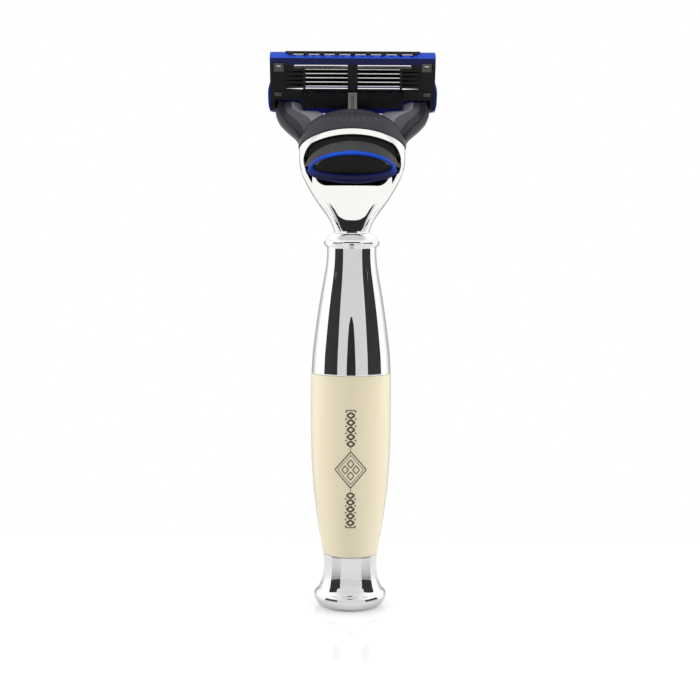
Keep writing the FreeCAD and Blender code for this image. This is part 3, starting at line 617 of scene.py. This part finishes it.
def window_sides(across, along):
    """The window's outline as four sides of evenly spaced (x, t) points: top, right, bottom, left.
    The right and left sides run down into narrow slits beside the horns of the front panel."""
    def top_edge(x):
        return x, RIM_CENTRE_S + math.sqrt(WINDOW_TOP_R ** 2 - x ** 2)

    top_x = 10.0
    right = arc_through(top_edge(top_x), (11.6, 4.6), (WINDOW_HALF, 1.5), 60)
    right += arc_through((WINDOW_HALF, 1.5), SLIT_MIDDLE, SLIT_END, 60)[1:]
    top = [top_edge(x) for x in np.linspace(-top_x, top_x, across + 1)]
    low = arc_through(SLIT_END, (9.75, -2.3), (HORN_TIP[0] + 0.2, HORN_TIP[1] - 0.35), 30) + [HORN_TIP]
    low += arc_through((HORN_TIP[0] - 0.2, HORN_TIP[1] - 0.35), (8.5, -2.95), (6.0, WINDOW_LOW_S), 60)
    low += [(-x, t) for x, t in reversed(low)]
    right_side = resampled(right, along)
    return [top, right_side, resampled(low, across), [(-x, t) for x, t in reversed(right_side)]]


def resampled(points, parts):
    p = np.array(points)
    length = np.concatenate([[0], np.cumsum(np.linalg.norm(np.diff(p, axis=0), axis=1))])
    return [(float(np.interp(u, length, p[:, 0])), float(np.interp(u, length, p[:, 1])))
            for u in np.linspace(0, length[-1], parts + 1)]


def window_angle(x, t):
    """Angle of the skin's point that lies x across, at a distance along the centre line."""
    height = centre_line(t)[2]
    power = flatness(height)
    part = min(0.999, abs(x) / half_sizes(height)[0]) ** power
    return math.copysign(math.atan((part / (1 - part)) ** (1 / power)), x)


def make_head_shell():
    """Grid over the shell's skin with a patch that runs from the window's outline to the grid."""
    across, along, behind_count, neck_rows, patch_rows = 120, 40, 66, 24, 16
    edge_angle, low_t, neck_t = math.radians(84), -9.0, -BEND_R * LEAN
    crowding = 1.3               # the patch's rows are closer together near the window
    bm = bmesh.new()
    made = {}

    def vert(angle, t):
        key = (round(math.cos(angle), 6), round(math.sin(angle), 6), round(t, 5))
        if key not in made:
            made[key] = bm.verts.new(shell_point(angle, t))
        return made[key]

    def column(angle, start, end, parts):
        return [(angle, start + (end - start) * k / parts) for k in range(parts + 1)]

    def beside(angle):
        return column(angle, low_t, rim_end(angle), along)

    def skin(columns):
        verts = [[vert(*point) for point in points] for points in columns]
        for first, second in zip(verts, verts[1:]):
            ring_faces(bm, first, second, closed=False)

    angles = list(np.linspace(-edge_angle, edge_angle, across + 1))
    behind = list(np.linspace(edge_angle, 2 * math.pi - edge_angle, behind_count))
    skin([beside(angle) for angle in behind])
    skin([column(angle, neck_t, low_t, neck_rows) for angle in angles + behind[1:]])
    outer = [beside(angle)[-1] for angle in angles]
    outer += beside(edge_angle)[-2::-1]
    outer += [(angle, low_t) for angle in reversed(angles[:-1])]
    outer += beside(-edge_angle)[1:-1]
    top, right, bottom, left = window_sides(across, along)
    inner = top + right[1:] + bottom[1:] + left[1:-1]
    rows = []
    for step in range(patch_rows + 1):
        u = (step / patch_rows) ** crowding
        row = []
        for (x, t), (angle, end_t) in zip(inner, outer):
            start = window_angle(x, t)
            lag = float(np.interp(t, [-2.0, 1.0], [1.6, 1.0]))      # leaves the slits straight down
            row.append(vert(start + (angle - start) * u ** lag, t + (end_t - t) * u))
        rows.append(row)
    for first, second in zip(rows, rows[1:]):
        ring_faces(bm, first, second)
    bmesh.ops.remove_doubles(bm, verts=bm.verts, dist=0.0005)
    shell = piece("head_shell_skin", bm, CHROME, "handle", ["head_shell"])
    apply(shell, "SOLIDIFY", thickness=SHELL_WALL * MM, offset=-1)
    return apply(shell, "EDGE_SPLIT", split_angle=math.radians(45), use_edge_sharp=False)


# ---------------------------------------------------------------- button
def column_depth(x, half_width, half_depth):
    return half_depth * math.sqrt(max(0.0, 1 - (x / half_width) ** 2))


def make_button():
    """Glossy oval ring round a domed rubber pad with faint ribs."""
    bm = bmesh.new()
    steps, count = 14, 180
    rows = []
    for step in range(steps + 1):
        u = step / steps
        row = []
        for k in range(count):
            a = 2 * math.pi * k / count
            x = (RING_OUT[0] + (RING_IN[0] - RING_OUT[0]) * u) * math.cos(a)
            s = (RING_OUT[2] + (RING_IN[2] - RING_OUT[2]) * u
                 + (RING_OUT[1] + (RING_IN[1] - RING_OUT[1]) * u) * math.sin(a))
            crown = 0.9 * math.sin(math.pi * min(1.0, 0.06 + u * 0.9)) ** 0.55
            row.append(bm.verts.new((x, -column_depth(x, *RING_COLUMN) - crown + 0.25, s)))
        rows.append(row)
    for first, second in zip(rows, rows[1:]):
        ring_faces(bm, first, second)
    skirt = [bm.verts.new((v.co.x, v.co.y + 0.6, v.co.z)) for v in rows[0]]
    ring_faces(bm, skirt, rows[0])
    piece("button_ring_oval", bm, RING, "button", ["button_ring"], dock_matrix)
    bm = bmesh.new()
    steps = 40
    middle = bm.verts.new((0, -PAD_COLUMN[1], PAD_OVAL[2]))
    rows = [[middle] * count]
    for step in range(1, steps + 1):
        u = step / steps
        row = []
        for k in range(count):
            a = 2 * math.pi * k / count
            x, s = PAD_OVAL[0] * u * math.cos(a), PAD_OVAL[2] + PAD_OVAL[1] * u * math.sin(a)
            fade = max(0.0, 1 - (u / 0.86) ** 6)
            rib = 0.09 * fade * (0.5 + 0.5 * math.cos(2 * math.pi * s / 0.95))
            edge = 0.85 * u ** 7
            row.append(bm.verts.new((x, -column_depth(x, *PAD_COLUMN) - rib + edge, s)))
        rows.append(row)
    rows.append([bm.verts.new((v.co.x, v.co.y + 0.5, v.co.z)) for v in rows[-1]])
    for first, second in zip(rows, rows[1:]):
        ring_faces(bm, first, second)
    piece("button_pad_oval", bm, PAD, "button", ["button_pad"], dock_matrix)


def make_ejector():
    """Sloping apron above the button."""
    across, up = 96, 26
    half, low, high = 11.6, 0.8, 7.0
    bm = bmesh.new()
    rows = []
    for j in range(up + 1):
        v = j / up
        row = []
        for i in range(across + 1):
            x = half * math.sin(math.pi * (i / across - 0.5))
            reach = math.sqrt(max(0.0, 1 - (x / half) ** 2))
            s = low + (high - low) * reach * v
            sag = 1.2 * v ** 1.2 * (0.35 + 0.65 * reach)
            row.append(bm.verts.new((x, -column_depth(x, *APRON_COLUMN) + sag, s)))
        rows.append(row)
    for first, second in zip(rows, rows[1:]):
        ring_faces(bm, first, second, closed=False)
    piece("ejector_apron", bm, GREY, "button", ["ejector"], dock_matrix)


def make_dock_liner():
    """Dark wall inside the shell, seen through the window and the slits beside it."""
    across, up, low_t = 96, 40, -6.5
    half_angle, side_gap, low_gap, high_gap = math.radians(86), 0.85, 2.0, 1.25
    bm = bmesh.new()
    columns = []
    for i in range(across + 1):
        angle = half_angle * (2 * i / across - 1)
        top_t = rim_end(angle) - 0.7
        column = []
        for j in range(up + 1):
            t = low_t + (top_t - low_t) * j / up
            (y, z), (fy, fz), height = centre_line(t)
            front_gap = float(np.interp(t, [2.5, 5.5], [low_gap, high_gap]))
            half_width, half_depth = half_sizes(height)[0] - side_gap, front_depth(height) - front_gap
            x, deep = section_point(angle, half_width, half_depth, flatness(height))
            column.append(bm.verts.new((x, y - deep * fy, z - deep * fz)))
        columns.append(column)
    for first, second in zip(columns, columns[1:]):
        ring_faces(bm, first, second, closed=False)
    piece("dock_liner", bm, BLACK, "handle", None)


# ---------------------------------------------------------------- yoke
DOME_COLUMN = [(4.5, 13.5, 5.6), (9.0, 13.45, 5.55), (13.0, 12.8, 5.1), (17.5, 11.0, 3.6)]
DOME_HALF, DOME_SIDE_S, SHOULDER_S, YOKE_TOP, YOKE_HALF, YOKE_GAP = 10.8, 12.9, 8.6, 16.5, 13.4, 0.12


def dome_top(x):
    """Height of the dome's outline over x: an arc with sloping shoulders."""
    rise = YOKE_TOP - DOME_SIDE_S
    radius = (DOME_HALF ** 2 + rise ** 2) / (2 * rise)
    if abs(x) <= DOME_HALF:
        return YOKE_TOP - radius + math.sqrt(radius ** 2 - x ** 2)
    return DOME_SIDE_S + (SHOULDER_S - DOME_SIDE_S) * (abs(x) - DOME_HALF) / (YOKE_HALF - DOME_HALF)


def make_yoke_dome():
    """Dome on the rim, lofted across from closed sections, with shallow ribs on both faces."""
    slices, wall, crown = 260, 34, 14
    bm = bmesh.new()
    loops = []
    for i in range(slices + 1):
        x = YOKE_HALF * 0.999 * math.sin(math.pi * (i / slices - 0.5))
        low = RIM_CENTRE_S + math.sqrt((RIM_R + YOKE_GAP) ** 2 - x ** 2)
        high = max(dome_top(x), low + 0.3)
        corner = min(1.5, 0.45 * (high - low))
        side = []
        for j in range(wall + 1):
            s = low + (high - corner - low) * j / wall
            lip = -0.35 * math.exp(-((s - low) / 0.28) ** 4)
            rib = 0.0
            inside = 1 - (x / 7.2) ** 2 - ((s - 12.75) / 1.65) ** 2
            if inside > 0:
                rib = 0.34 * min(1.0, 5 * inside) * math.cos(math.pi * x / 1.4) ** 2
            side.append((-1, s, rib - lip))
        for j in range(1, crown + 1):
            a = 0.5 * math.pi * j / crown
            part = -math.cos(a) ** 0.9 if j < crown else 0.0
            side.append((part, high - corner + corner * math.sin(a), 0))
        loop = []
        for part, s, relief in side:
            half_width = float(np.interp(s, [c[0] for c in DOME_COLUMN], [c[1] for c in DOME_COLUMN]))
            half_depth = float(np.interp(s, [c[0] for c in DOME_COLUMN], [c[2] for c in DOME_COLUMN]))
            depth = column_depth(x, max(half_width, abs(x) + 0.05), half_depth)
            loop.append((x, part * depth - relief, s))
        back = [(px, -py, ps) for px, py, ps in reversed(loop[:-1])]
        loops.append([bm.verts.new(p) for p in loop + back])
    for first, second in zip(loops, loops[1:]):
        ring_faces(bm, first, second)
    obj = piece("yoke_dome", bm, YOKE, "connector", ["yoke"], dock_matrix)
    apply(obj, "EDGE_SPLIT", split_angle=math.radians(48), use_edge_sharp=False)


ARM_OUTER = [(13.0, 7.2), (13.8, 9.2), (14.9, 10.4), (16.2, 11.55), (17.3, 12.65), (18.2, 13.75),
             (18.8, 14.9), (19.2, 16.0), (19.35, 17.0), (19.2, 18.2), (18.95, 19.2)]
ARM_INNER = [(9.2, 11.6), (9.0, 12.7), (8.6, 13.5), (8.0, 14.3), (7.3, 15.2), (7.0, 16.2), (8.0, 17.0),
             (11.0, 17.4), (12.6, 17.9), (12.85, 18.6), (12.9, 19.2)]
# the arm's section: part of the way from the outer to the inner outline, depth of the face there
ARM_SECTION = [(0.0, 1.1), (0.0, 0.45), (0.02, 0.0), (0.06, -0.25), (0.11, -0.25), (0.15, -0.05),
               (0.2, 0.2), (0.36, 0.32), (0.52, 0.3), (0.58, 0.1), (0.62, 0.0), (0.66, 0.12), (0.98, 1.3),
               (1.0, 1.7)]
# bands of each arm: the edge in the yoke's own plastic, the face and the web in lighter colours that are
# painted light
ARM_PARTS = [("edge", 0, 8, YOKE), ("arm", 7, 11, ARM_FACE_PAINTED_LIGHT), ("web", 10, 14, SMOKE_PAINTED_LIGHT)]
ARM_BACK, PIN_R, PIN_LONG, PIN_AT = 2.15, 0.68, 1.3, (19.3, 1.0, 18.0)


def make_yoke_arms():
    """Two wide arms: a rolled outer edge, a broad hollow face and a thin bright web along the inside. The
    face is a lighter copy of the yoke's plastic and the web a much lighter smoke grey, both painted
    light.
    """
    for side, name in ((-1, "left"), (1, "right")):
        outer, inner = spline(ARM_OUTER, 70), spline(ARM_INNER, 70)
        for part, low, high, material in ARM_PARTS:
            bm = bmesh.new()
            loops = []
            for (ox, oz), (ix, iz) in zip(outer, inner):
                front = [(ox + (ix - ox) * q, y, oz + (iz - oz) * q) for q, y in ARM_SECTION[low:high]]
                back = [(x, ARM_BACK, s) for x, y, s in (front[-1], front[0])]
                loops.append([bm.verts.new((side * x, y, s)) for x, y, s in front + back])
            for first, second in zip(loops, loops[1:]):
                ring_faces(bm, first, second)
            bm.faces.new(loops[0])
            bm.faces.new(loops[-1])
            obj = piece("yoke_%s_%s" % (part, name), bm, material, "connector", ["yoke"],
                        dock_matrix)
            apply(obj, "EDGE_SPLIT", split_angle=math.radians(40), use_edge_sharp=False)
        pin = bmesh.new()
        place = Matrix.Translation((side * PIN_AT[0], *PIN_AT[1:])) @ Matrix.Rotation(math.pi / 2, 4, "Y")
        bmesh.ops.create_cone(pin, cap_ends=True, segments=40, radius1=PIN_R, radius2=PIN_R,
                              depth=PIN_LONG, matrix=place)
        obj = piece("yoke_pin_%s" % name, pin, YOKE, "connector", ["yoke"], dock_matrix)
        bevelled(obj, 0.12, 3)


# ---------------------------------------------------------------- ornament on the barrel
def stroke(bm, points, width):
    """Ribbon of ink along (across, height) points, laid on the barrel's surface."""
    p = np.array(points, float)
    run = np.gradient(p, axis=0)
    run /= np.linalg.norm(run, axis=1)[:, None]
    side = np.stack([-run[:, 1], run[:, 0]], axis=1) * width / 2
    previous = None
    for (x, z), (dx, dz) in zip(p, side):
        pair = []
        for sign in (-1, 1):
            across, height = x + sign * dx, z + sign * dz
            radius = barrel_radius(height) + 0.022
            angle = across / radius
            pair.append(bm.verts.new((radius * math.sin(angle), -radius * math.cos(angle), height)))
        if previous:
            bm.faces.new([previous[0], previous[1], pair[1], pair[0]])
        previous = pair


def line(a, b, count=14):
    return [(a[0] + (b[0] - a[0]) * k / count, a[1] + (b[1] - a[1]) * k / count)
            for k in range(count + 1)]


def lozenge(bm, x, z, half_width, half_height, width):
    corners = [(x + half_width, z), (x, z + half_height), (x - half_width, z), (x, z - half_height)]
    for a, b in zip(corners, corners[1:] + corners[:1]):
        stroke(bm, line(a, b), width)


def make_ornament():
    """Plain printed ornament: a double lozenge between two columns of small lozenges and dots."""
    bm = bmesh.new()
    middle = 36.0
    lozenge(bm, 0, middle, 3.9, 4.5, 0.26)
    lozenge(bm, 0, middle, 3.15, 3.65, 0.15)
    for sign in (-1, 1):
        lozenge(bm, sign * 1.35, middle, 0.85, 1.0, 0.24)
        lozenge(bm, 0, middle + sign * 1.5, 0.85, 1.0, 0.24)
        stroke(bm, line((0, middle + sign * 4.6), (0, middle + sign * 5.4)), 0.16)
        for k in range(5):
            z = middle + sign * (6.4 + 1.75 * k)
            lozenge(bm, 0, z, 0.95, 0.72, 0.42)
            for x in (-1.15, 1.15):
                stroke(bm, line((x - 0.19, z + sign * 0.87), (x + 0.19, z + sign * 0.87)), 0.36)
        stroke(bm, line((-1.2, middle + sign * 14.6), (1.2, middle + sign * 14.6)), 0.24)
    piece("barrel_ornament", bm, INK, "handle", None)


# ---------------------------------------------------------------- blade unit details
def tube(bm, points, radius, sides=12):
    """Round bar along a path, closed at both ends."""
    p = [Vector(q) for q in points]
    loops = []
    for k, point in enumerate(p):
        run = (p[min(k + 1, len(p) - 1)] - p[max(k - 1, 0)]).normalized()
        across = run.cross(Vector((0, 1, 0.2))).normalized()
        other = run.cross(across)
        thin = radius * min(1.0, 0.25 + 0.75 * min(k, len(p) - 1 - k) / 4)
        loops.append([bm.verts.new(point + thin * (math.cos(a) * across + math.sin(a) * other))
                      for a in np.linspace(0, 2 * math.pi, sides + 1)[:-1]])
    for first, second in zip(loops, loops[1:]):
        ring_faces(bm, first, second)
    bm.faces.new(loops[0])
    bm.faces.new(loops[-1])


STRAIGHT_RIDGES = [              # start and end on the right half, number of points, radius
    ((12.8, -2.62, 2.85), (19.2, -2.62, 2.85), 14, 0.16),
    ((1.5, -2.62, 10.95), (14.3, -2.62, 10.95), 20, 0.12),
    ((15.9, -2.6, 3.2), (15.9, -2.6, 4.6), 8, 0.2),
    ((16.6, -2.55, 4.2), (16.6, -2.55, 9.8), 14, 0.16),
    ((16.6, -2.6, 4.9), (19.4, -2.6, 4.9), 10, 0.2)]


def make_housing_ridges():
    """Raised ridge lines on the housing's back, the guard's lower lip and the clips' bright edges; the
    clips' edges are a painted highlight, tubes of far lighter steel than the clips.
    """
    bm = bmesh.new()
    for side in (-1, 1):
        wave = [(side * (1.7 + 10.6 * u), -1.62, 4.75 - 1.15 * math.sin(math.pi * u) ** 1.3 + 0.25 * u)
                for u in np.linspace(0, 1, 40)]
        tube(bm, wave, 0.2)
        low = [(side * (2.2 + 10.0 * u), -1.6, 2.35 - 0.7 * math.sin(math.pi * u))
               for u in np.linspace(0, 1, 40)]
        tube(bm, low, 0.14)
        for start, end, count, radius in STRAIGHT_RIDGES:
            tube(bm, [(side * x, y, z) for x, y, z in np.linspace(start, end, count)], radius)
    piece("housing_ridges", bm, BLACK, "blade_unit", None, unit_matrix)
    # painted highlight: bright steel tubes along the clips' top edges
    for side, name in ((-1, "left"), (1, "right")):
        edge = bmesh.new()
        tube(edge, [(side * x, -2.72, 11.05) for x in np.linspace(17.05, 19.35, 12)], 0.17)
        piece("clip_edge_" + name, edge, EDGE_STEEL, "blade_unit", None, unit_matrix)
    lip = bmesh.new()
    tube(lip, [(x, 1.95, -1.45) for x in np.linspace(-20.3, 20.3, 60)], 0.5, 16)
    piece("guard_lip", lip, SOFT_BLUE, "blade_unit", None, unit_matrix)


def make_support_edges():
    """Rounded bright back edge of each blade's support, set where the CAD sheet ends: a painted highlight
    in bright steel on supports whose steel carries painted shade.
    """
    half, radius, sunk = 18.2, 0.19, 0.08
    to_unit = unit_matrix.inverted()
    for k in range(1, 6):
        node = nodes["blade_support_%d" % k]
        points = [to_unit @ node.matrix_world @ v.co for v in node.data.vertices]
        back = min(p.y for p in points)
        levels = [p.z for p in points if p.y < back + 0.05 * MM]
        level = sum(levels) / len(levels) / MM
        bm = bmesh.new()
        tube(bm, [(x, back / MM + sunk, level) for x in np.linspace(-half, half, 60)], radius)
        piece("support_edge_%d" % k, bm, EDGE_STEEL, "blade_body_%d" % k, None, unit_matrix)


make_button()
make_ejector()
make_dock_liner()
make_yoke_dome()
make_yoke_arms()
make_ornament()
make_housing_ridges()
make_support_edges()
make_base_cap()
make_barrel()
make_ferrule()
make_head_shell()
add_camera()
add_world()
add_floor()
add_cards()
add_side_lights()
